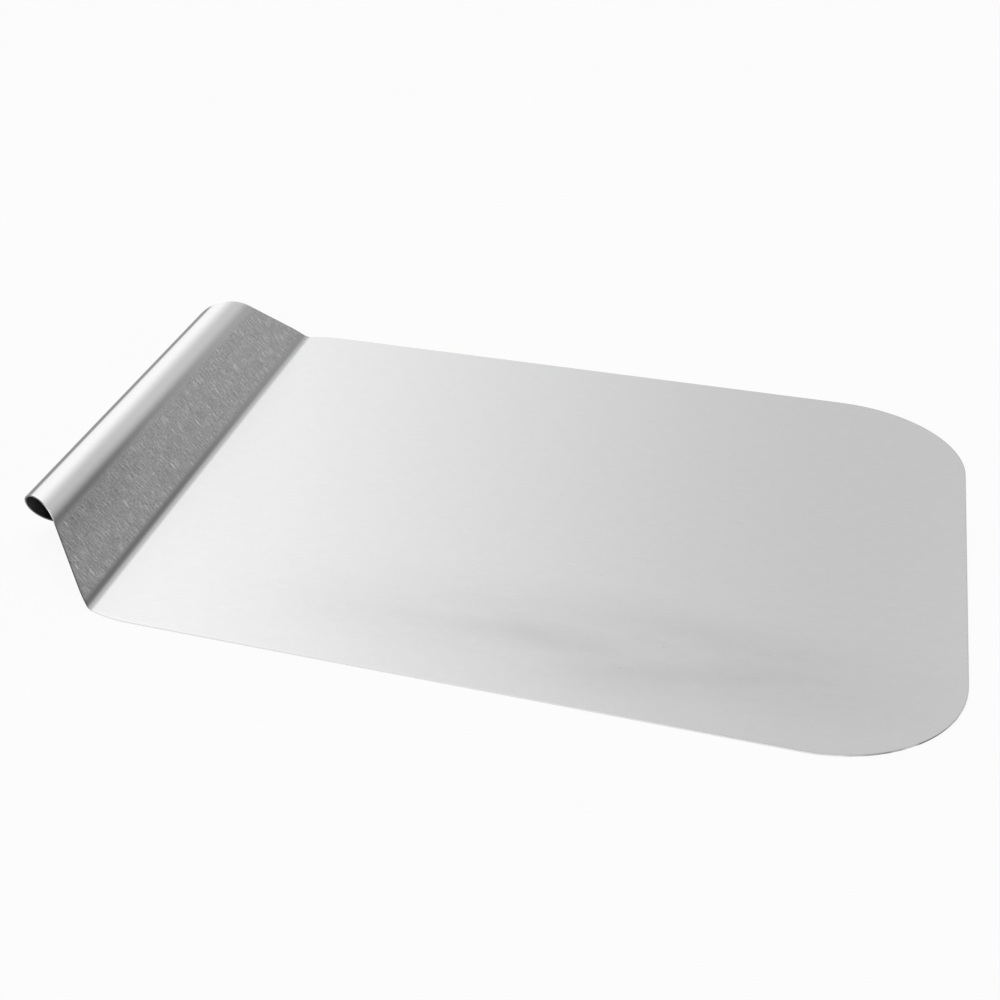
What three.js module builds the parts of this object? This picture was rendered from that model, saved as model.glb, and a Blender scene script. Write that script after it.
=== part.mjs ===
// Pizza spatula: one blank of thin steel sheet, bent up behind the blade and rolled into a handle.
// Millimetres, +Z up. The blade lies on Z = 0 with its front edge towards +X, and the origin is the
// bottom centre of the whole part.
import * as THREE from 'three';

// Driving sizes
const SHEET_THICKNESS = 0.6;
const BLADE_LENGTH = 308;          // front edge to the corner where blade and riser would meet
const FRONT_WIDTH = 269;           // across the side edges carried on to the front edge
const BEND_WIDTH = 252;            // across the side edges carried back to the bend
const FRONT_CORNER_RADIUS = 54;
const SHOULDER_RADIUS = 45;        // rounds each side edge into the tapered tail
const SHOULDER_SETBACK = 3;        // shoulder corner to the bend corner
const TAIL_TAPER = 35.3;           // degrees, each tail edge to the length of the sheet
const RISER_ANGLE = 45.3;          // degrees, riser to the table
const BEND_INSIDE_RADIUS = 4;
const ROLL_DIAMETER = 25;          // outside of the rolled handle
const ROLL_LIFT = 0.6;             // table to the underside of the roll
const LIP_CLEARANCE = 0.4;         // free edge of the roll to the back of the riser

// Smoothness
const CORNER_STEPS = 20;
const SHOULDER_STEPS = 10;
const BEND_STEPS = 12;
const ROLL_STEPS = 72;

const STEEL = { color: 0xc9cbcc, roughness: 0.34, metalness: 1 };

// Profile: the middle of the sheet, seen from the side, from the front edge back to the lip
const half = SHEET_THICKNESS / 2;
const slope = THREE.MathUtils.degToRad(RISER_ANGLE);
const bendRadius = BEND_INSIDE_RADIUS + half;
const bendTangent = bendRadius * Math.tan(slope / 2);
const rollRadius = ROLL_DIAMETER / 2 - half;
const rollHeight = ROLL_LIFT + ROLL_DIAMETER / 2;
const riserRise = rollHeight + rollRadius * Math.cos(slope) - half;
const riserLength = riserRise / Math.sin(slope);
const lipCosine = (rollRadius - half - LIP_CLEARANCE) / (rollRadius + half);
const rollTurn = 2 * Math.PI - Math.acos(lipCosine);

// Distances along the flat blank, measured back from the front edge
const bendStart = BLADE_LENGTH - bendTangent;
const riserStart = bendStart + bendRadius * slope;
const rollStart = riserStart + riserLength - bendTangent;
const lipEnd = rollStart + rollRadius * rollTurn;

// Where a distance along the blank ends up, and which way the sheet's upper face looks there
function fold(distance) {
  if (distance <= bendStart) {
    return { x: BLADE_LENGTH - distance, z: half, tilt: 0 };
  }
  if (distance <= riserStart) {
    const turned = (distance - bendStart) / bendRadius;
    const x = bendTangent - bendRadius * Math.sin(turned);
    const z = half + bendRadius * (1 - Math.cos(turned));
    return { x, z, tilt: turned };
  }
  if (distance <= rollStart) {
    const climbed = distance - riserStart + bendTangent;
    const x = -climbed * Math.cos(slope);
    const z = half + climbed * Math.sin(slope);
    return { x, z, tilt: slope };
  }
  const tilt = slope - (distance - rollStart) / rollRadius;
  const centreX = -riserLength * Math.cos(slope) - rollRadius * Math.sin(slope);
  const x = centreX + rollRadius * Math.sin(tilt);
  const z = rollHeight + rollRadius * Math.cos(tilt);
  return { x, z, tilt };
}

// Outline of the flat blank: front corner arc, side edge, shoulder arc, tail edge
const bendLine = (bendStart + riserStart) / 2;
const sideLean = Math.atan((FRONT_WIDTH - BEND_WIDTH) / 2 / bendLine);
const tailLean = THREE.MathUtils.degToRad(TAIL_TAPER);
const sideWidth = (distance) => FRONT_WIDTH / 2 - distance * Math.tan(sideLean);

const cornerEnd = FRONT_CORNER_RADIUS * (1 + Math.sin(sideLean));
const cornerCentre = sideWidth(FRONT_CORNER_RADIUS) - FRONT_CORNER_RADIUS / Math.cos(sideLean);

const shoulderTangent = SHOULDER_RADIUS * Math.tan((tailLean - sideLean) / 2);
const shoulderStart = bendLine - SHOULDER_SETBACK - shoulderTangent * Math.cos(sideLean);
const shoulderMiddle = shoulderStart - SHOULDER_RADIUS * Math.sin(sideLean);
const shoulderCentre = sideWidth(shoulderStart) - SHOULDER_RADIUS * Math.cos(sideLean);
const shoulderEnd = shoulderMiddle + SHOULDER_RADIUS * Math.sin(tailLean);
const tailWidth = shoulderCentre + SHOULDER_RADIUS * Math.cos(tailLean);

function halfWidth(distance) {
  if (distance < cornerEnd) {
    const back = FRONT_CORNER_RADIUS - distance;
    return cornerCentre + Math.sqrt(FRONT_CORNER_RADIUS ** 2 - back ** 2);
  }
  if (distance < shoulderStart) {
    return sideWidth(distance);
  }
  if (distance < shoulderEnd) {
    const along = distance - shoulderMiddle;
    return shoulderCentre + Math.sqrt(SHOULDER_RADIUS ** 2 - along ** 2);
  }
  return tailWidth - (distance - shoulderEnd) * Math.tan(tailLean);
}

// Cross cuts of the blank: even steps of angle round each curve
function steps(count, place) {
  return Array.from({ length: count + 1 }, (_, i) => place(i / count));
}

function crossCuts() {
  const corner = steps(CORNER_STEPS, (s) => {
    const angle = s * (Math.PI / 2 + sideLean);
    return FRONT_CORNER_RADIUS * (1 - Math.cos(angle));
  });
  const shoulder = steps(SHOULDER_STEPS, (s) => {
    const angle = sideLean + s * (tailLean - sideLean);
    return shoulderMiddle + SHOULDER_RADIUS * Math.sin(angle);
  });
  const bend = steps(BEND_STEPS, (s) => bendStart + s * (riserStart - bendStart));
  const roll = steps(ROLL_STEPS, (s) => rollStart + s * (lipEnd - rollStart));
  const cuts = [...corner, ...shoulder, ...bend, ...roll].sort((a, b) => a - b);
  const minimumStep = SHEET_THICKNESS / 20;
  return cuts.filter((cut, i) => i === 0 || cut - cuts[i - 1] > minimumStep);
}

// The blank starts as a box sliced at each cross cut, and every slice is moved to its folded place
function foldedSheet() {
  const cuts = crossCuts();
  const sheet = new THREE.BoxGeometry(1, 1, 1, cuts.length - 1, 1, 1);
  const point = sheet.attributes.position;
  for (let i = 0; i < point.count; i += 1) {
    const cut = cuts[Math.round((0.5 - point.getX(i)) * (cuts.length - 1))];
    const { x, z, tilt } = fold(cut);
    const face = point.getZ(i) * SHEET_THICKNESS;
    const y = 2 * point.getY(i) * halfWidth(cut);
    point.setXYZ(i, x + face * Math.sin(tilt), y, z + face * Math.cos(tilt));
  }
  sheet.computeVertexNormals();
  return sheet;
}

const sheet = new THREE.Mesh(foldedSheet(), new THREE.MeshStandardMaterial(STEEL));
sheet.name = 'spatula_sheet';

const spatula = new THREE.Group();
spatula.name = 'pizza_spatula';
spatula.add(sheet);

// Stand the part on the table with the origin at its middle
const extent = new THREE.Box3().setFromObject(spatula);
const middle = extent.getCenter(new THREE.Vector3());
sheet.position.set(-middle.x, -middle.y, -extent.min.z);

export default spatula;
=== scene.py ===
"""Looks of a pizza spatula: one sheet of brushed steel, bent up and rolled, on a pale studio floor.

Lengths are in metres, in the part's own frame: +X to the blade's front edge, +Z up from the floor.
"""
import math

import bmesh
import bpy
from mathutils import Matrix, Vector


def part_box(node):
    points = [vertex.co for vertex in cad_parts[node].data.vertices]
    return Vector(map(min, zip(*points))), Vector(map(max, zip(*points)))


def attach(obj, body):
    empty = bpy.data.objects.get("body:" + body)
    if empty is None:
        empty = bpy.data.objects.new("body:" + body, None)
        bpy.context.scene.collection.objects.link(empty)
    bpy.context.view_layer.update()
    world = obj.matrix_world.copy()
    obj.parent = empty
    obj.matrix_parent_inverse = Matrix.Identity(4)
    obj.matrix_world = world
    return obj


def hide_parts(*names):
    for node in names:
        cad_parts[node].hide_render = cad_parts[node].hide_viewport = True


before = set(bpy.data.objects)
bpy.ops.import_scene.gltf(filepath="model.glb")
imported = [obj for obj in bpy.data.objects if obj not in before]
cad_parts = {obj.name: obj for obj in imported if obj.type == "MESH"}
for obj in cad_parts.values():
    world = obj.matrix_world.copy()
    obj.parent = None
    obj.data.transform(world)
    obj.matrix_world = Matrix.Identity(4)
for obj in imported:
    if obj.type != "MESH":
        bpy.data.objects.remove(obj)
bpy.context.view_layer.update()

MM = 0.001
NODE = "spatula_sheet"

# Sizes of the sheet, as in the solid that it stands for
THICKNESS = 0.6 * MM
BLADE_LENGTH = 308 * MM
FRONT_WIDTH = 269 * MM
BEND_WIDTH = 252 * MM
CORNER_RADIUS = 54 * MM
SHOULDER_RADIUS = 45 * MM
SHOULDER_SETBACK = 3 * MM
TAIL_TAPER = math.radians(35.3)
RISER_ANGLE = math.radians(45.3)
BEND_INSIDE_RADIUS = 4 * MM
ROLL_DIAMETER = 25 * MM
ROLL_LIFT = 0.6 * MM
LIP_CLEARANCE = 0.4 * MM
DEBURR = 0.12 * MM
DEBURR_STEPS = 2
DEBURR_ANGLE = math.radians(50)

# Profile of the middle of the sheet, as distances back from the front edge along the flat blank
HALF = THICKNESS / 2
BEND_RADIUS = BEND_INSIDE_RADIUS + HALF
BEND_TANGENT = BEND_RADIUS * math.tan(RISER_ANGLE / 2)
ROLL_RADIUS = ROLL_DIAMETER / 2 - HALF
ROLL_HEIGHT = ROLL_LIFT + ROLL_DIAMETER / 2
RISER_RISE = ROLL_HEIGHT + ROLL_RADIUS * math.cos(RISER_ANGLE) - HALF
RISER_LENGTH = RISER_RISE / math.sin(RISER_ANGLE)
LIP_COSINE = (ROLL_RADIUS - HALF - LIP_CLEARANCE) / (ROLL_RADIUS + HALF)
ROLL_TURN = 2 * math.pi - math.acos(LIP_COSINE)
BEND_START = BLADE_LENGTH - BEND_TANGENT
RISER_START = BEND_START + BEND_RADIUS * RISER_ANGLE
ROLL_START = RISER_START + RISER_LENGTH - BEND_TANGENT
LIP_END = ROLL_START + ROLL_RADIUS * ROLL_TURN
BEND_LINE = (BEND_START + RISER_START) / 2

# The bend's corner in the part's frame: the blade's front edge is the part's highest X
BEND_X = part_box(NODE)[1].x - BLADE_LENGTH

# Outline of the flat blank
SIDE_LEAN = math.atan((FRONT_WIDTH - BEND_WIDTH) / 2 / BEND_LINE)


def side_width(distance):
    return FRONT_WIDTH / 2 - distance * math.tan(SIDE_LEAN)


CORNER_END = CORNER_RADIUS * (1 + math.sin(SIDE_LEAN))
CORNER_CENTRE = side_width(CORNER_RADIUS) - CORNER_RADIUS / math.cos(SIDE_LEAN)
SHOULDER_TANGENT = SHOULDER_RADIUS * math.tan((TAIL_TAPER - SIDE_LEAN) / 2)
SHOULDER_START = BEND_LINE - SHOULDER_SETBACK - SHOULDER_TANGENT * math.cos(SIDE_LEAN)
SHOULDER_MIDDLE = SHOULDER_START - SHOULDER_RADIUS * math.sin(SIDE_LEAN)
SHOULDER_CENTRE = side_width(SHOULDER_START) - SHOULDER_RADIUS * math.cos(SIDE_LEAN)
SHOULDER_END = SHOULDER_MIDDLE + SHOULDER_RADIUS * math.sin(TAIL_TAPER)
TAIL_WIDTH = SHOULDER_CENTRE + SHOULDER_RADIUS * math.cos(TAIL_TAPER)


def half_width(distance):
    if distance < CORNER_END:
        back = CORNER_RADIUS - distance
        return CORNER_CENTRE + math.sqrt(CORNER_RADIUS ** 2 - back ** 2)
    if distance < SHOULDER_START:
        return side_width(distance)
    if distance < SHOULDER_END:
        along = distance - SHOULDER_MIDDLE
        return SHOULDER_CENTRE + math.sqrt(SHOULDER_RADIUS ** 2 - along ** 2)
    return TAIL_WIDTH - (distance - SHOULDER_END) * math.tan(TAIL_TAPER)


def edge_distance(distance, y):
    """How far a place on the flat blank is from its outline."""
    beside_corner = abs(y) - CORNER_CENTRE
    if distance < CORNER_END and beside_corner > 0:
        return CORNER_RADIUS - math.hypot(CORNER_RADIUS - distance, beside_corner)
    return min(distance, half_width(distance) - abs(y), LIP_END - distance)


def fold(distance):
    """Where the middle of the sheet lies, as x from the bend's corner and z, and how far it tilts."""
    if distance <= BEND_START:
        return BLADE_LENGTH - distance, HALF, 0.0
    if distance <= RISER_START:
        turned = (distance - BEND_START) / BEND_RADIUS
        x = BEND_TANGENT - BEND_RADIUS * math.sin(turned)
        return x, HALF + BEND_RADIUS * (1 - math.cos(turned)), turned
    if distance <= ROLL_START:
        climbed = distance - RISER_START + BEND_TANGENT
        x = -climbed * math.cos(RISER_ANGLE)
        return x, HALF + climbed * math.sin(RISER_ANGLE), RISER_ANGLE
    tilt = RISER_ANGLE - (distance - ROLL_START) / ROLL_RADIUS
    centre = -RISER_LENGTH * math.cos(RISER_ANGLE) - ROLL_RADIUS * math.sin(RISER_ANGLE)
    x = centre + ROLL_RADIUS * math.sin(tilt)
    return x, ROLL_HEIGHT + ROLL_RADIUS * math.cos(tilt), tilt


# Mesh of the sheet: rows along the blank, columns across it
CORNER_ROWS = 40
BLADE_ROWS = 40
SHOULDER_ROWS = 24
BEND_ROWS = 20
RISER_ROWS = 12
ROLL_ROWS = 140
COLUMNS = 48
LEAST_ROW = 0.12 * MM                       # rows closer together than this are left out
EDGE_COLUMNS = (0.0, 0.4 * MM, 1.2 * MM)    # in from each side edge
FLAT_SPAN = 0.42                            # what a UV map spans from 0 to 1

# Materials of the sheet's faces, in the order that the piece holds them
UPPER_FACE = 0
UNDER_FACE = 1
CUT_FACE = 2


def spread(count, start, end):
    return [start + (end - start) * i / count for i in range(count + 1)]


def sheet_rows():
    corner = [
        CORNER_RADIUS * (1 - math.cos(a))
        for a in spread(CORNER_ROWS, 0, math.pi / 2 + SIDE_LEAN)
    ]
    shoulder = [
        SHOULDER_MIDDLE + SHOULDER_RADIUS * math.sin(a)
        for a in spread(SHOULDER_ROWS, SIDE_LEAN, TAIL_TAPER)
    ]
    blade = spread(BLADE_ROWS, CORNER_END, SHOULDER_START)
    bend = spread(BEND_ROWS, BEND_START, RISER_START)
    riser = spread(RISER_ROWS, RISER_START, ROLL_START)
    roll = spread(ROLL_ROWS, ROLL_START, LIP_END)
    rows = []
    for distance in sorted(corner + blade + shoulder + bend + riser + roll):
        if not rows or distance - rows[-1] > LEAST_ROW:
            rows.append(distance)
    return rows


def sheet_columns(width):
    """Places across the blank from one edge to the other, closer together along both edges."""
    inner = width - EDGE_COLUMNS[-1]
    near = [-(width - gap) for gap in EDGE_COLUMNS[:-1]]
    return near + spread(COLUMNS, -inner, inner) + [-y for y in reversed(near)]


def grid_faces(mesh, grid, material):
    for row, next_row in zip(grid, grid[1:]):
        for a, b, c, d in zip(row, row[1:], next_row[1:], next_row):
            mesh.faces.new((a, b, c, d)).material_index = material


def sheet_mesh():
    """The folded sheet as one closed skin, with its place on the flat blank as UV maps."""
    skin = bmesh.new()
    flat = {}
    inward = {}
    faces = []
    for side in (1, -1):
        grid = []
        for distance in sheet_rows():
            x, z, tilt = fold(distance)
            point_x = BEND_X + x + side * HALF * math.sin(tilt)
            point_z = z + side * HALF * math.cos(tilt)
            row = []
            for y in sheet_columns(half_width(distance)):
                vertex = skin.verts.new((point_x, y, point_z))
                flat[vertex] = (0.5 + y / FLAT_SPAN, distance / FLAT_SPAN)
                inward[vertex] = (edge_distance(distance, y) / FLAT_SPAN, 0.0)
                row.append(vertex)
            grid.append(row)
        faces.append(grid)
    top, bottom = faces
    grid_faces(skin, top, UPPER_FACE)
    grid_faces(skin, bottom, UNDER_FACE)
    edges = [
        (top[0], bottom[0]),
        (top[-1], bottom[-1]),
        ([row[0] for row in top], [row[0] for row in bottom]),
        ([row[-1] for row in top], [row[-1] for row in bottom]),
    ]
    for edge in edges:
        grid_faces(skin, edge, CUT_FACE)
    bmesh.ops.recalc_face_normals(skin, faces=skin.faces)
    flat_layer = skin.loops.layers.uv.new("flat_blank")
    edge_layer = skin.loops.layers.uv.new("edge_distance")
    for face in skin.faces:
        face.smooth = True
        for loop in face.loops:
            loop[flat_layer].uv = flat[loop.vert]
            loop[edge_layer].uv = inward[loop.vert]
    mesh = bpy.data.meshes.new(NODE)
    skin.to_mesh(mesh)
    skin.free()
    return mesh


def make_sheet(materials):
    piece = bpy.data.objects.new("brushed_sheet", sheet_mesh())
    bpy.context.scene.collection.objects.link(piece)
    for material in materials:
        piece.data.materials.append(material)
    deburr = piece.modifiers.new("deburred_edges", "BEVEL")
    deburr.width = DEBURR
    deburr.segments = DEBURR_STEPS
    deburr.limit_method = "ANGLE"
    deburr.angle_limit = DEBURR_ANGLE
    deburr.material = CUT_FACE
    deburr.harden_normals = True
    return piece


# Materials
STEEL = (0.802, 0.801, 0.803)
MILL_STEEL = (0.5, 0.5, 0.505)


def new_material(name):
    material = bpy.data.materials.new(name)
    material.use_nodes = True
    tree = material.node_tree
    shader = tree.nodes["Principled BSDF"]
    shader.inputs["Metallic"].default_value = 1.0
    return material, tree, shader


def feed(tree, value, socket):
    """Give a socket a number, or link another socket to it."""
    if isinstance(value, (int, float)):
        socket.default_value = value
    else:
        tree.links.new(value, socket)


def combine(tree, operation, first, second):
    node = tree.nodes.new("ShaderNodeMath")
    node.operation = operation
    feed(tree, first, node.inputs[0])
    feed(tree, second, node.inputs[1])
    return node.outputs["Value"]


def remap(tree, value, low, high, out_low, out_high, shape="LINEAR"):
    node = tree.nodes.new("ShaderNodeMapRange")
    node.interpolation_type = shape
    feed(tree, value, node.inputs["Value"])
    feed(tree, low, node.inputs["From Min"])
    feed(tree, high, node.inputs["From Max"])
    feed(tree, out_low, node.inputs["To Min"])
    feed(tree, out_high, node.inputs["To Max"])
    return node.outputs["Result"]


def patch(tree, value, middle, reach):
    """A soft mask: 1 where the value is at the middle, 0 from that reach onwards."""
    away = combine(tree, "ABSOLUTE", combine(tree, "SUBTRACT", value, middle), 0.0)
    return remap(tree, away, 0.0, reach, 1.0, 0.0, "SMOOTHSTEP")


def sheet_place(tree):
    """The place on the flat blank in metres: x across the sheet, y back from its front edge."""
    place = tree.nodes.new("ShaderNodeUVMap")
    place.uv_map = "flat_blank"
    metres = tree.nodes.new("ShaderNodeVectorMath")
    metres.operation = "MULTIPLY_ADD"
    tree.links.new(place.outputs["UV"], metres.inputs[0])
    metres.inputs[1].default_value = (FLAT_SPAN, FLAT_SPAN, 0)
    metres.inputs[2].default_value = (-FLAT_SPAN / 2, 0, 0)
    return metres.outputs["Vector"]


def split(tree, vector):
    node = tree.nodes.new("ShaderNodeSeparateXYZ")
    tree.links.new(vector, node.inputs["Vector"])
    return node.outputs["X"], node.outputs["Y"], node.outputs["Z"]


def streaks(tree, place, width, length, detail=1.0):
    """Noise drawn out along the sheet, with streaks about this wide and long."""
    mapping = tree.nodes.new("ShaderNodeMapping")
    mapping.inputs["Scale"].default_value = (1 / width, 1 / length, 1)
    tree.links.new(place, mapping.inputs["Vector"])
    noise = tree.nodes.new("ShaderNodeTexNoise")
    noise.inputs["Scale"].default_value = 1.0
    noise.inputs["Detail"].default_value = detail
    tree.links.new(mapping.outputs["Vector"], noise.inputs["Vector"])
    return noise.outputs["Fac"]


def scratches(tree, place, width, length, share, turn, weakest=0.0):
    """Separate short lines along the sheet, from the weakest strength up to 1, and 0 off the lines."""
    mapping = tree.nodes.new("ShaderNodeMapping")
    mapping.vector_type = "TEXTURE"
    mapping.inputs["Rotation"].default_value = (0, 0, turn)
    mapping.inputs["Scale"].default_value = (width / LINE_REACH, length / LINE_REACH, 1)
    tree.links.new(place, mapping.inputs["Vector"])
    cells = tree.nodes.new("ShaderNodeTexVoronoi")
    cells.voronoi_dimensions = "2D"
    cells.inputs["Scale"].default_value = 1.0
    tree.links.new(mapping.outputs["Vector"], cells.inputs["Vector"])
    chance, strength, _ = split(tree, cells.outputs["Color"])
    line = remap(tree, cells.outputs["Distance"], 0.0, LINE_REACH / 2, 1.0, 0.0, "SMOOTHSTEP")
    chosen = combine(tree, "LESS_THAN", chance, share)
    return product(tree, line, chosen, remap(tree, strength, 0.0, 1.0, weakest, 1.0))


def around_one(tree, noise, contrast):
    """A factor that wavers around 1 with the noise."""
    centred = combine(tree, "SUBTRACT", noise, 0.5)
    return combine(tree, "ADD", combine(tree, "MULTIPLY", centred, contrast), 1.0)


def product(tree, *values):
    result = values[0]
    for value in values[1:]:
        result = combine(tree, "MULTIPLY", result, value)
    return result


def paint(tree, shader, colour, factor):
    """The base colour, made lighter or darker by a factor."""
    node = tree.nodes.new("ShaderNodeVectorMath")
    node.operation = "SCALE"
    node.inputs[0].default_value = colour
    tree.links.new(factor, node.inputs["Scale"])
    tree.links.new(node.outputs["Vector"], shader.inputs["Base Color"])


def emboss(tree, shader, height, depth):
    bump = tree.nodes.new("ShaderNodeBump")
    bump.inputs["Distance"].default_value = depth
    tree.links.new(height, bump.inputs["Height"])
    tree.links.new(bump.outputs["Normal"], shader.inputs["Normal"])


# Noise on the sheet: how wide and how long its streaks are, and how much finer detail they have
GRAIN = (1.0 * MM, 5 * MM, 3.0)
FINE_GRAIN = (0.5 * MM, 5 * MM, 2.0)
SPECKLE = (0.7 * MM, 1.1 * MM, 2.0)
MOTTLE = (4 * MM, 7 * MM, 3.0)
PATCHES = (7 * MM, 22 * MM, 3.0)
DARK_REFLECTION_CLOUD = (22 * MM, 70 * MM, 4.0)
MILL_GRAIN = (0.8 * MM, 5 * MM, 4.0)
MILL_CLOUD = (30 * MM, 45 * MM, 3.0)
BURR = (0.5 * MM, 0.5 * MM, 3.0)
FRONT_SHADE_BREAKS = (12 * MM, 12 * MM, 2.0)

# Lines and spots on the sheet: width, length, share of the cells that hold one, turn, least strength
SCRATCH_WIDTH = 0.65 * MM
SPOTS = (1.3 * MM, 1.5 * MM, 0.004, 0.0)
SCUFFS = (0.5 * MM, 4 * MM, 0.8, math.radians(-6))
DEEP_SCRATCHES = (SCRATCH_WIDTH, 4.5 * MM, 0.06, math.radians(-9), 0.7)
LINE_REACH = 0.45               # size of a line, as a share of its cell

# Brushing of the upper face
BLADE_GRAIN = 0.06
BLADE_MOTTLE = 0.04
BLADE_FINE_GRAIN = 0.03
BLADE_SPECKLE = 0.05
GRAIN_DEPTH = 0.0006 * MM
BRUSHED_ROUGHNESS = 0.32
BRUSHED_ROUGHNESS_CONTRAST = 0.25
BRUSHED_ANISOTROPY = 0.7

# The riser, duller than the blade, with bright streaks and scratches
RISER_FADE = 2.6 * MM
ROUGH_START = RISER_START + 0.6 * MM
ROUGH_END = ROLL_START - 0.6 * MM
RISER_DULLING = 0.22
RISER_STREAKS = 0.75
STREAK_RANGE = (0.45, 0.8)
RISER_SPECKLE = 1.0
RISER_PATCHES = 0.2
SCUFF = 0.6
SCRATCH_TONE = 1.6
SCRATCH_SLOPE = 0.9

# Painted shade: darker lines along the bend and the roll, and a broad darker patch beside the roll,
# stronger at the near end
BEND_SHADE_PLACE = RISER_START + 0.5 * MM
BEND_SHADE_REACH = 2.0 * MM
ROLL_SHADE_PLACE = ROLL_START - 0.4 * MM
ROLL_SHADE_REACH = 2.6 * MM
CREASE_SHADE = 0.34
CREASE_SHADE_SPAN = (-60 * MM, 80 * MM)
SHADE_PLACE = ROLL_START - 3 * MM
SHADE_REACH = 16 * MM
BROAD_SHADE = 0.16
BROAD_SHADE_SPAN = (-80 * MM, -10 * MM)

# A painted dark reflection and specks on the blade, and painted shade over the back of the roll
DARK_REFLECTION = 0.14
DARK_REFLECTION_MIDDLE = (-92 * MM, 125 * MM)
DARK_REFLECTION_REACH = (44 * MM, 160 * MM)
DARK_REFLECTION_CLOUD_RANGE = (0.3, 0.65)
DARK_REFLECTION_LEAST = 0.2
SPECK = 0.16
ROLL_BACK_SHADE = 0.8
ROLL_BACK_SHADE_SPAN = (math.radians(20), math.radians(29), math.radians(75), math.radians(110))

# Polished strips along the sheet's outline, and a darker strip of painted shade along its front
WEAR_REACH = 1.6 * MM
EDGE_POLISH = 0.08
RIM_SHADE_REACH = 0.7 * MM
RIM_SHADE = 0.14

# The under face, and painted shade inside the roll
MILL_GRAIN_CONTRAST = 0.2
MILL_CLOUD_CONTRAST = 0.2
MILL_ROUGHNESS = 0.42
MILL_ROUGHNESS_CONTRAST = 0.3
MILL_DEPTH = 0.001 * MM
ROLL_INSIDE_SHADE = 0.2
ROLL_INSIDE_SHADE_FADE = 6 * MM

# The cut edges: painted shade in patches at the front, painted shade on the tail, and a painted
# highlight on the tail where the roll starts
FRONT_EDGE_SHADE = 0.2
FRONT_SHADE_BREAK_RANGE = (0.5, 0.7)
FRONT_EDGE_SPAN = (0.3 * CORNER_END, CORNER_END)
TAIL_EDGE_SHADE = 0.15
EDGE_HIGHLIGHT_PLACE = ROLL_START + 4 * MM
EDGE_HIGHLIGHT_REACH = 6 * MM
BURR_CONTRAST = 0.3
CUT_ROUGHNESS = 0.3
CUT_ROUGHNESS_CONTRAST = 0.5
BURR_DEPTH = 0.002 * MM


def riser_mask(tree, along, start):
    """1 on the riser, rising from 0 at this distance along the sheet, and fading out below the roll."""
    above_bend = remap(tree, along, start, start + RISER_FADE, 0.0, 1.0, "SMOOTHSTEP")
    below_roll = remap(tree, along, ROUGH_END - RISER_FADE, ROUGH_END, 1.0, 0.0, "SMOOTHSTEP")
    return combine(tree, "MULTIPLY", above_bend, below_roll)


def painted_crease_shade(tree, across, along):
    """Painted shade: darker lines along the bend and the roll, and a broad darker patch, stronger at the
    near end.
    """
    low = patch(tree, along, BEND_SHADE_PLACE, BEND_SHADE_REACH)
    high = patch(tree, along, ROLL_SHADE_PLACE, ROLL_SHADE_REACH)
    crease_lines = combine(tree, "MAXIMUM", low, high)
    crease_shade_strength = remap(tree, across, *CREASE_SHADE_SPAN, CREASE_SHADE, 0.0, "SMOOTHSTEP")
    broad = patch(tree, along, SHADE_PLACE, SHADE_REACH)
    shaded = remap(tree, across, *BROAD_SHADE_SPAN, BROAD_SHADE, 0.0, "SMOOTHSTEP")
    dark = combine(
        tree, "ADD",
        combine(tree, "MULTIPLY", crease_lines, crease_shade_strength),
        combine(tree, "MULTIPLY", broad, shaded),
    )
    return combine(tree, "SUBTRACT", 1.0, dark)


def painted_roll_back_shade(tree, along):
    """A darker strip of painted shade over the back of the roll."""
    start, full, fading, end = [ROLL_START + ROLL_RADIUS * (RISER_ANGLE + turn) for turn in ROLL_BACK_SHADE_SPAN]
    coming = remap(tree, along, start, full, 0.0, ROLL_BACK_SHADE, "SMOOTHSTEP")
    going = remap(tree, along, fading, end, 1.0, 0.0, "SMOOTHSTEP")
    return combine(tree, "SUBTRACT", 1.0, combine(tree, "MULTIPLY", coming, going))


def painted_dark_reflection(tree, place, across, along):
    """A faint cloudy painted dark reflection along one side of the blade."""
    here = combine(
        tree, "MULTIPLY",
        patch(tree, across, DARK_REFLECTION_MIDDLE[0], DARK_REFLECTION_REACH[0]),
        patch(tree, along, DARK_REFLECTION_MIDDLE[1], DARK_REFLECTION_REACH[1]),
    )
    cloudy = remap(tree, streaks(tree, place, *DARK_REFLECTION_CLOUD), *DARK_REFLECTION_CLOUD_RANGE, DARK_REFLECTION_LEAST, 1.0)
    return combine(tree, "SUBTRACT", 1.0, product(tree, here, cloudy, DARK_REFLECTION))


def specks(tree, place):
    """A few small dark spots."""
    spots = scratches(tree, place, *SPOTS)
    return combine(tree, "SUBTRACT", 1.0, combine(tree, "MULTIPLY", spots, SPECK))


def riser_scratches(tree, place, on_riser):
    """Short scratches up the riser, a little askew: many that only scuff it, and a few deep ones."""
    scuffs = scratches(tree, place, *SCUFFS)
    deep = scratches(tree, place, *DEEP_SCRATCHES)
    return product(tree, scuffs, on_riser, SCUFF), combine(tree, "MULTIPLY", deep, on_riser)


def edge_wear_and_shade(tree, reach):
    """1 right at the sheet's outline, fading out a little way in."""
    edge = tree.nodes.new("ShaderNodeUVMap")
    edge.uv_map = "edge_distance"
    inward, _, _ = split(tree, edge.outputs["UV"])
    return remap(tree, inward, 0.0, reach / FLAT_SPAN, 1.0, 0.0, "SMOOTHSTEP")


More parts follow.
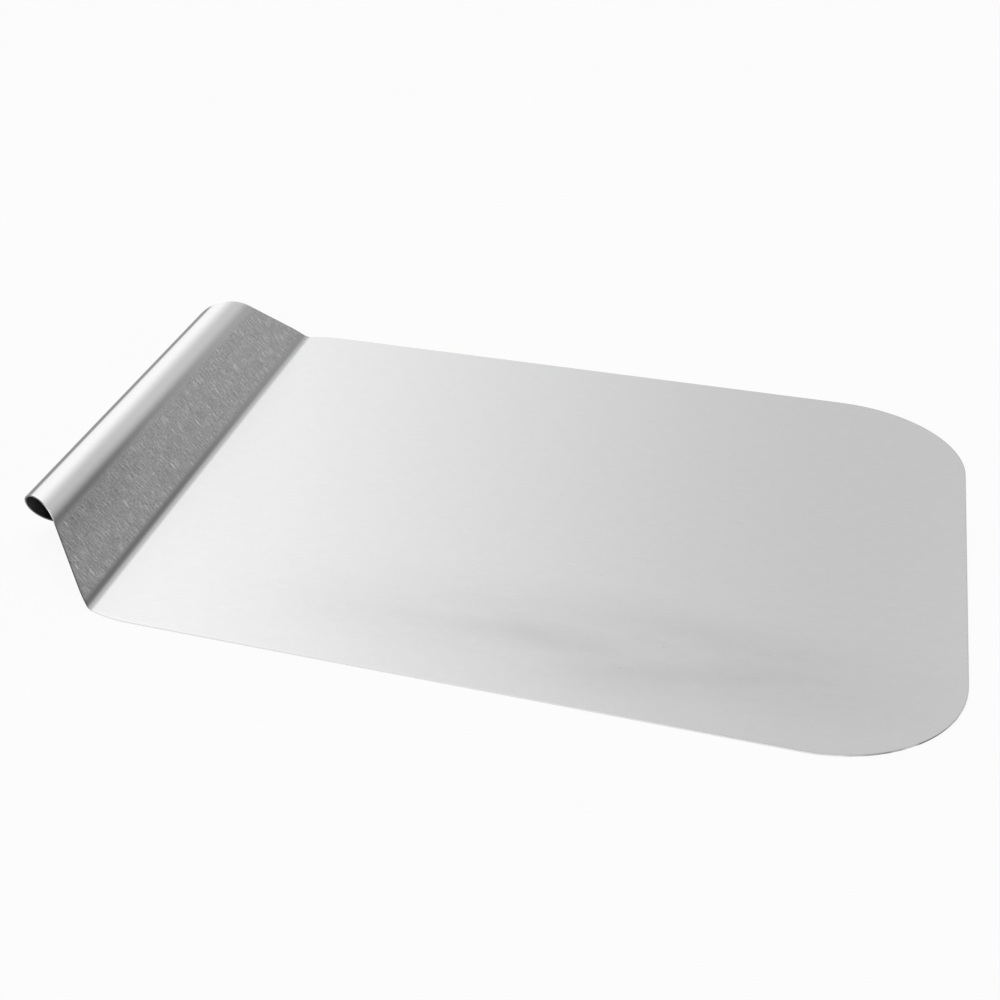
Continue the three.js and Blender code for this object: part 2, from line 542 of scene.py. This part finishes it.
def brushed_steel():
    """The upper face: brushed blade, scuffed riser and the outside of the roll."""
    material, tree, shader = new_material("brushed_steel")
    place = sheet_place(tree)
    across, along, _ = split(tree, place)
    on_riser = riser_mask(tree, along, ROUGH_START)
    grain = streaks(tree, place, *GRAIN)
    fine_grain = streaks(tree, place, *FINE_GRAIN)
    speckle = streaks(tree, place, *SPECKLE)
    mottle = streaks(tree, place, *MOTTLE)
    patches = streaks(tree, place, *PATCHES)
    scuffs, scratched = riser_scratches(tree, place, on_riser)
    dulled = combine(tree, "MULTIPLY", riser_mask(tree, along, BEND_START), RISER_DULLING)
    bright_streaks = remap(tree, fine_grain, *STREAK_RANGE, 0.0, RISER_STREAKS)
    # painted shade in a thin strip along the front edge
    front_painted_shade = remap(tree, along, CORNER_END, 2 * CORNER_END, RIM_SHADE, 0.0, "SMOOTHSTEP")
    rim_shade = combine(tree, "MULTIPLY", edge_wear_and_shade(tree, RIM_SHADE_REACH), front_painted_shade)
    tone = product(
        tree,
        around_one(tree, grain, BLADE_GRAIN),
        around_one(tree, mottle, BLADE_MOTTLE),
        around_one(tree, fine_grain, BLADE_FINE_GRAIN),
        combine(tree, "SUBTRACT", 1.0, dulled),
        combine(tree, "ADD", 1.0, combine(tree, "MULTIPLY", bright_streaks, on_riser)),
        around_one(tree, speckle, remap(tree, on_riser, 0.0, 1.0, BLADE_SPECKLE, RISER_SPECKLE)),
        around_one(tree, patches, combine(tree, "MULTIPLY", on_riser, RISER_PATCHES)),
        # painted shade along the bend and the roll
        painted_crease_shade(tree, across, along),
        # painted shade over the back of the roll
        painted_roll_back_shade(tree, along),
        # painted dark reflection on the blade
        painted_dark_reflection(tree, place, across, along),
        specks(tree, place),
        remap(tree, combine(tree, "MAXIMUM", scuffs, scratched), 0.0, 1.0, 1.0, SCRATCH_TONE),
        combine(tree, "SUBTRACT", 1.0, rim_shade),
    )
    paint(tree, shader, STEEL, tone)
    uneven = around_one(tree, fine_grain, BRUSHED_ROUGHNESS_CONTRAST)
    rough = combine(tree, "MULTIPLY", uneven, BRUSHED_ROUGHNESS)
    polish = combine(tree, "MULTIPLY", edge_wear_and_shade(tree, WEAR_REACH), EDGE_POLISH)
    tree.links.new(combine(tree, "SUBTRACT", rough, polish), shader.inputs["Roughness"])
    shader.inputs["Anisotropic"].default_value = BRUSHED_ANISOTROPY
    tangent = tree.nodes.new("ShaderNodeTangent")
    tangent.direction_type = "UV_MAP"
    tangent.uv_map = "flat_blank"
    tree.links.new(tangent.outputs["Tangent"], shader.inputs["Tangent"])
    tree.links.new(combine(tree, "SUBTRACT", 1.0, scuffs), shader.inputs["Metallic"])
    brushing = combine(tree, "MULTIPLY", grain, GRAIN_DEPTH)
    scoring = combine(tree, "MULTIPLY", scratched, SCRATCH_SLOPE * SCRATCH_WIDTH)
    # Both heights are already in metres
    emboss(tree, shader, combine(tree, "ADD", brushing, scoring), 1.0)
    return material


def mill_steel():
    """The under face, and the inside of the roll, which is darker with painted shade."""
    material, tree, shader = new_material("mill_steel")
    place = sheet_place(tree)
    grain = streaks(tree, place, *MILL_GRAIN)
    cloud = streaks(tree, place, *MILL_CLOUD)
    _, along, _ = split(tree, place)
    inside = ROLL_START + ROLL_INSIDE_SHADE_FADE
    # painted shade inside the roll
    inside_shade_factor = remap(tree, along, ROLL_START, inside, 1.0, ROLL_INSIDE_SHADE, "SMOOTHSTEP")
    tone = product(
        tree,
        around_one(tree, grain, MILL_GRAIN_CONTRAST),
        around_one(tree, cloud, MILL_CLOUD_CONTRAST),
        inside_shade_factor,
    )
    paint(tree, shader, MILL_STEEL, tone)
    uneven = around_one(tree, grain, MILL_ROUGHNESS_CONTRAST)
    tree.links.new(combine(tree, "MULTIPLY", uneven, MILL_ROUGHNESS), shader.inputs["Roughness"])
    emboss(tree, shader, grain, MILL_DEPTH)
    return material


def cut_edge():
    """The sheet's cut edge, with painted shade at the front and tail and a painted highlight where the
    roll starts.
    """
    material, tree, shader = new_material("cut_edge")
    place = sheet_place(tree)
    burr = streaks(tree, place, *BURR)
    front_shade = remap(tree, streaks(tree, place, *FRONT_SHADE_BREAKS), *FRONT_SHADE_BREAK_RANGE, FRONT_EDGE_SHADE, 1.0)
    _, along, _ = split(tree, place)
    # painted highlight on the tail's cut edge where the roll starts
    edge_highlight = patch(tree, along, EDGE_HIGHLIGHT_PLACE, EDGE_HIGHLIGHT_REACH)
    tail_shade_and_highlight = remap(tree, edge_highlight, 0.0, 1.0, TAIL_EDGE_SHADE, 1.0)
    painted_tail_tone = remap(tree, along, BEND_START, RISER_START, 1.0, tail_shade_and_highlight, "SMOOTHSTEP")
    front_painted_shade = remap(tree, along, *FRONT_EDGE_SPAN, front_shade, 1.0, "SMOOTHSTEP")
    paint(tree, shader, STEEL, product(tree, around_one(tree, burr, BURR_CONTRAST), front_painted_shade, painted_tail_tone))
    uneven = around_one(tree, burr, CUT_ROUGHNESS_CONTRAST)
    tree.links.new(combine(tree, "MULTIPLY", uneven, CUT_ROUGHNESS), shader.inputs["Roughness"])
    emboss(tree, shader, burr, BURR_DEPTH)
    return material


# Studio: the light comes from the left and fades to the right, over a pale backdrop at floor level
FLOOR_HALF = 20.0
FLOOR_WHITE = (0.9, 0.9, 0.9, 1)
FLOOR_GLOW = 1.0
FLOOR_GLOW_SHARE = 0.9
STUDIO_LEVEL = 1.25
SOFTBOX_SIZE = 1.6
SOFTBOX_POWER = 1.0
SOFTBOX_PLACE = (0.0, -0.1, 1.6)
BACKDROP_TONE = 0.78
BACKDROP_TOP = (0.03, 0.11)     # upward part of the direction, where the backdrop fades out

# Sideways part of the direction, and the studio's tone there
STUDIO_TONES = (
    (-1.0, 0.50), (-0.75, 0.92), (-0.55, 0.97), (-0.4, 0.99), (-0.25, 0.82), (-0.1, 0.63), (0.05, 0.54),
    (0.2, 0.61), (0.35, 0.445), (0.5, 0.265), (0.65, 0.20), (0.8, 0.41), (1.0, 0.50),
)


def floor_material():
    material = bpy.data.materials.new("pale_floor")
    material.use_nodes = True
    tree = material.node_tree
    tree.nodes.clear()
    path = tree.nodes.new("ShaderNodeLightPath")
    seen = combine(tree, "MAXIMUM", path.outputs["Is Camera Ray"], path.outputs["Is Glossy Ray"])
    seen = combine(tree, "MAXIMUM", seen, path.outputs["Is Transmission Ray"])
    diffuse = tree.nodes.new("ShaderNodeBsdfDiffuse")
    diffuse.inputs["Color"].default_value = FLOOR_WHITE
    glow = tree.nodes.new("ShaderNodeEmission")
    glow.inputs["Strength"].default_value = FLOOR_GLOW
    mix = tree.nodes.new("ShaderNodeMixShader")
    tree.links.new(combine(tree, "MULTIPLY", seen, FLOOR_GLOW_SHARE), mix.inputs["Fac"])
    tree.links.new(diffuse.outputs["BSDF"], mix.inputs[1])
    tree.links.new(glow.outputs["Emission"], mix.inputs[2])
    output = tree.nodes.new("ShaderNodeOutputMaterial")
    tree.links.new(mix.outputs["Shader"], output.inputs["Surface"])
    return material


def make_floor():
    mesh = bpy.data.meshes.new("floor")
    corners = [(-1, -1), (1, -1), (1, 1), (-1, 1)]
    mesh.from_pydata([(x * FLOOR_HALF, y * FLOOR_HALF, 0.0) for x, y in corners], [], [(0, 1, 2, 3)])
    floor = bpy.data.objects.new("floor", mesh)
    bpy.context.scene.collection.objects.link(floor)
    mesh.materials.append(floor_material())


def make_world():
    world = bpy.data.worlds.new("studio")
    bpy.context.scene.world = world
    world.use_nodes = True
    tree = world.node_tree
    direction = tree.nodes.new("ShaderNodeTexCoord").outputs["Generated"]
    sideways, _, upwards = split(tree, direction)
    tones = tree.nodes.new("ShaderNodeValToRGB")
    ramp = tones.color_ramp
    ramp.interpolation = "CARDINAL"
    for _ in STUDIO_TONES[2:]:
        ramp.elements.new(0.5)
    for element, (place, tone) in zip(ramp.elements, STUDIO_TONES):
        element.position = (place + 1) / 2
        element.color = (tone, tone, tone, 1)
    tree.links.new(remap(tree, sideways, -1, 1, 0, 1), tones.inputs["Fac"])
    backdrop = tree.nodes.new("ShaderNodeMixRGB")
    backdrop.inputs["Color1"].default_value = (BACKDROP_TONE, BACKDROP_TONE, BACKDROP_TONE, 1)
    tree.links.new(tones.outputs["Color"], backdrop.inputs["Color2"])
    tree.links.new(remap(tree, upwards, *BACKDROP_TOP, 0, 1, "SMOOTHSTEP"), backdrop.inputs["Fac"])
    background = tree.nodes["Background"]
    tree.links.new(backdrop.outputs["Color"], background.inputs["Color"])
    background.inputs["Strength"].default_value = STUDIO_LEVEL


def make_softbox():
    data = bpy.data.lights.new("overhead_softbox", "AREA")
    data.shape = "RECTANGLE"
    data.size = SOFTBOX_SIZE
    data.size_y = SOFTBOX_SIZE
    data.energy = SOFTBOX_POWER
    lamp = bpy.data.objects.new("overhead_softbox", data)
    lamp.location = SOFTBOX_PLACE
    bpy.context.scene.collection.objects.link(lamp)


# Camera at the photograph's angle
AZIMUTH = math.radians(11.197)
ELEVATION = math.radians(29.736)
ROLL = math.radians(3.212)
DISTANCE = 0.70214
TARGET = Vector((BEND_X + 0.12271, -0.00091, 0.0))
FOCAL_PIXELS = 1735.7
IMAGE_PIXELS = 1000
SENSOR = 36.0


def make_camera():
    back = Vector((
        math.sin(AZIMUTH) * math.cos(ELEVATION),
        -math.cos(AZIMUTH) * math.cos(ELEVATION),
        math.sin(ELEVATION),
    ))
    level = Vector((math.cos(AZIMUTH), math.sin(AZIMUTH), 0))
    upright = back.cross(level)
    right = level * math.cos(ROLL) + upright * math.sin(ROLL)
    up = back.cross(right)
    data = bpy.data.cameras.new("photo_view")
    data.sensor_width = SENSOR
    data.lens = FOCAL_PIXELS * SENSOR / IMAGE_PIXELS
    camera = bpy.data.objects.new("photo_view", data)
    turn = Matrix((right, up, back)).transposed().to_4x4()
    camera.matrix_world = Matrix.Translation(TARGET + DISTANCE * back) @ turn
    bpy.context.scene.collection.objects.link(camera)
    bpy.context.scene.camera = camera


sheet = make_sheet([brushed_steel(), mill_steel(), cut_edge()])
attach(sheet, "root")
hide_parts(NODE)

make_floor()
make_world()
make_softbox()
make_camera()
bpy.context.scene.view_settings.view_transform = "Standard"
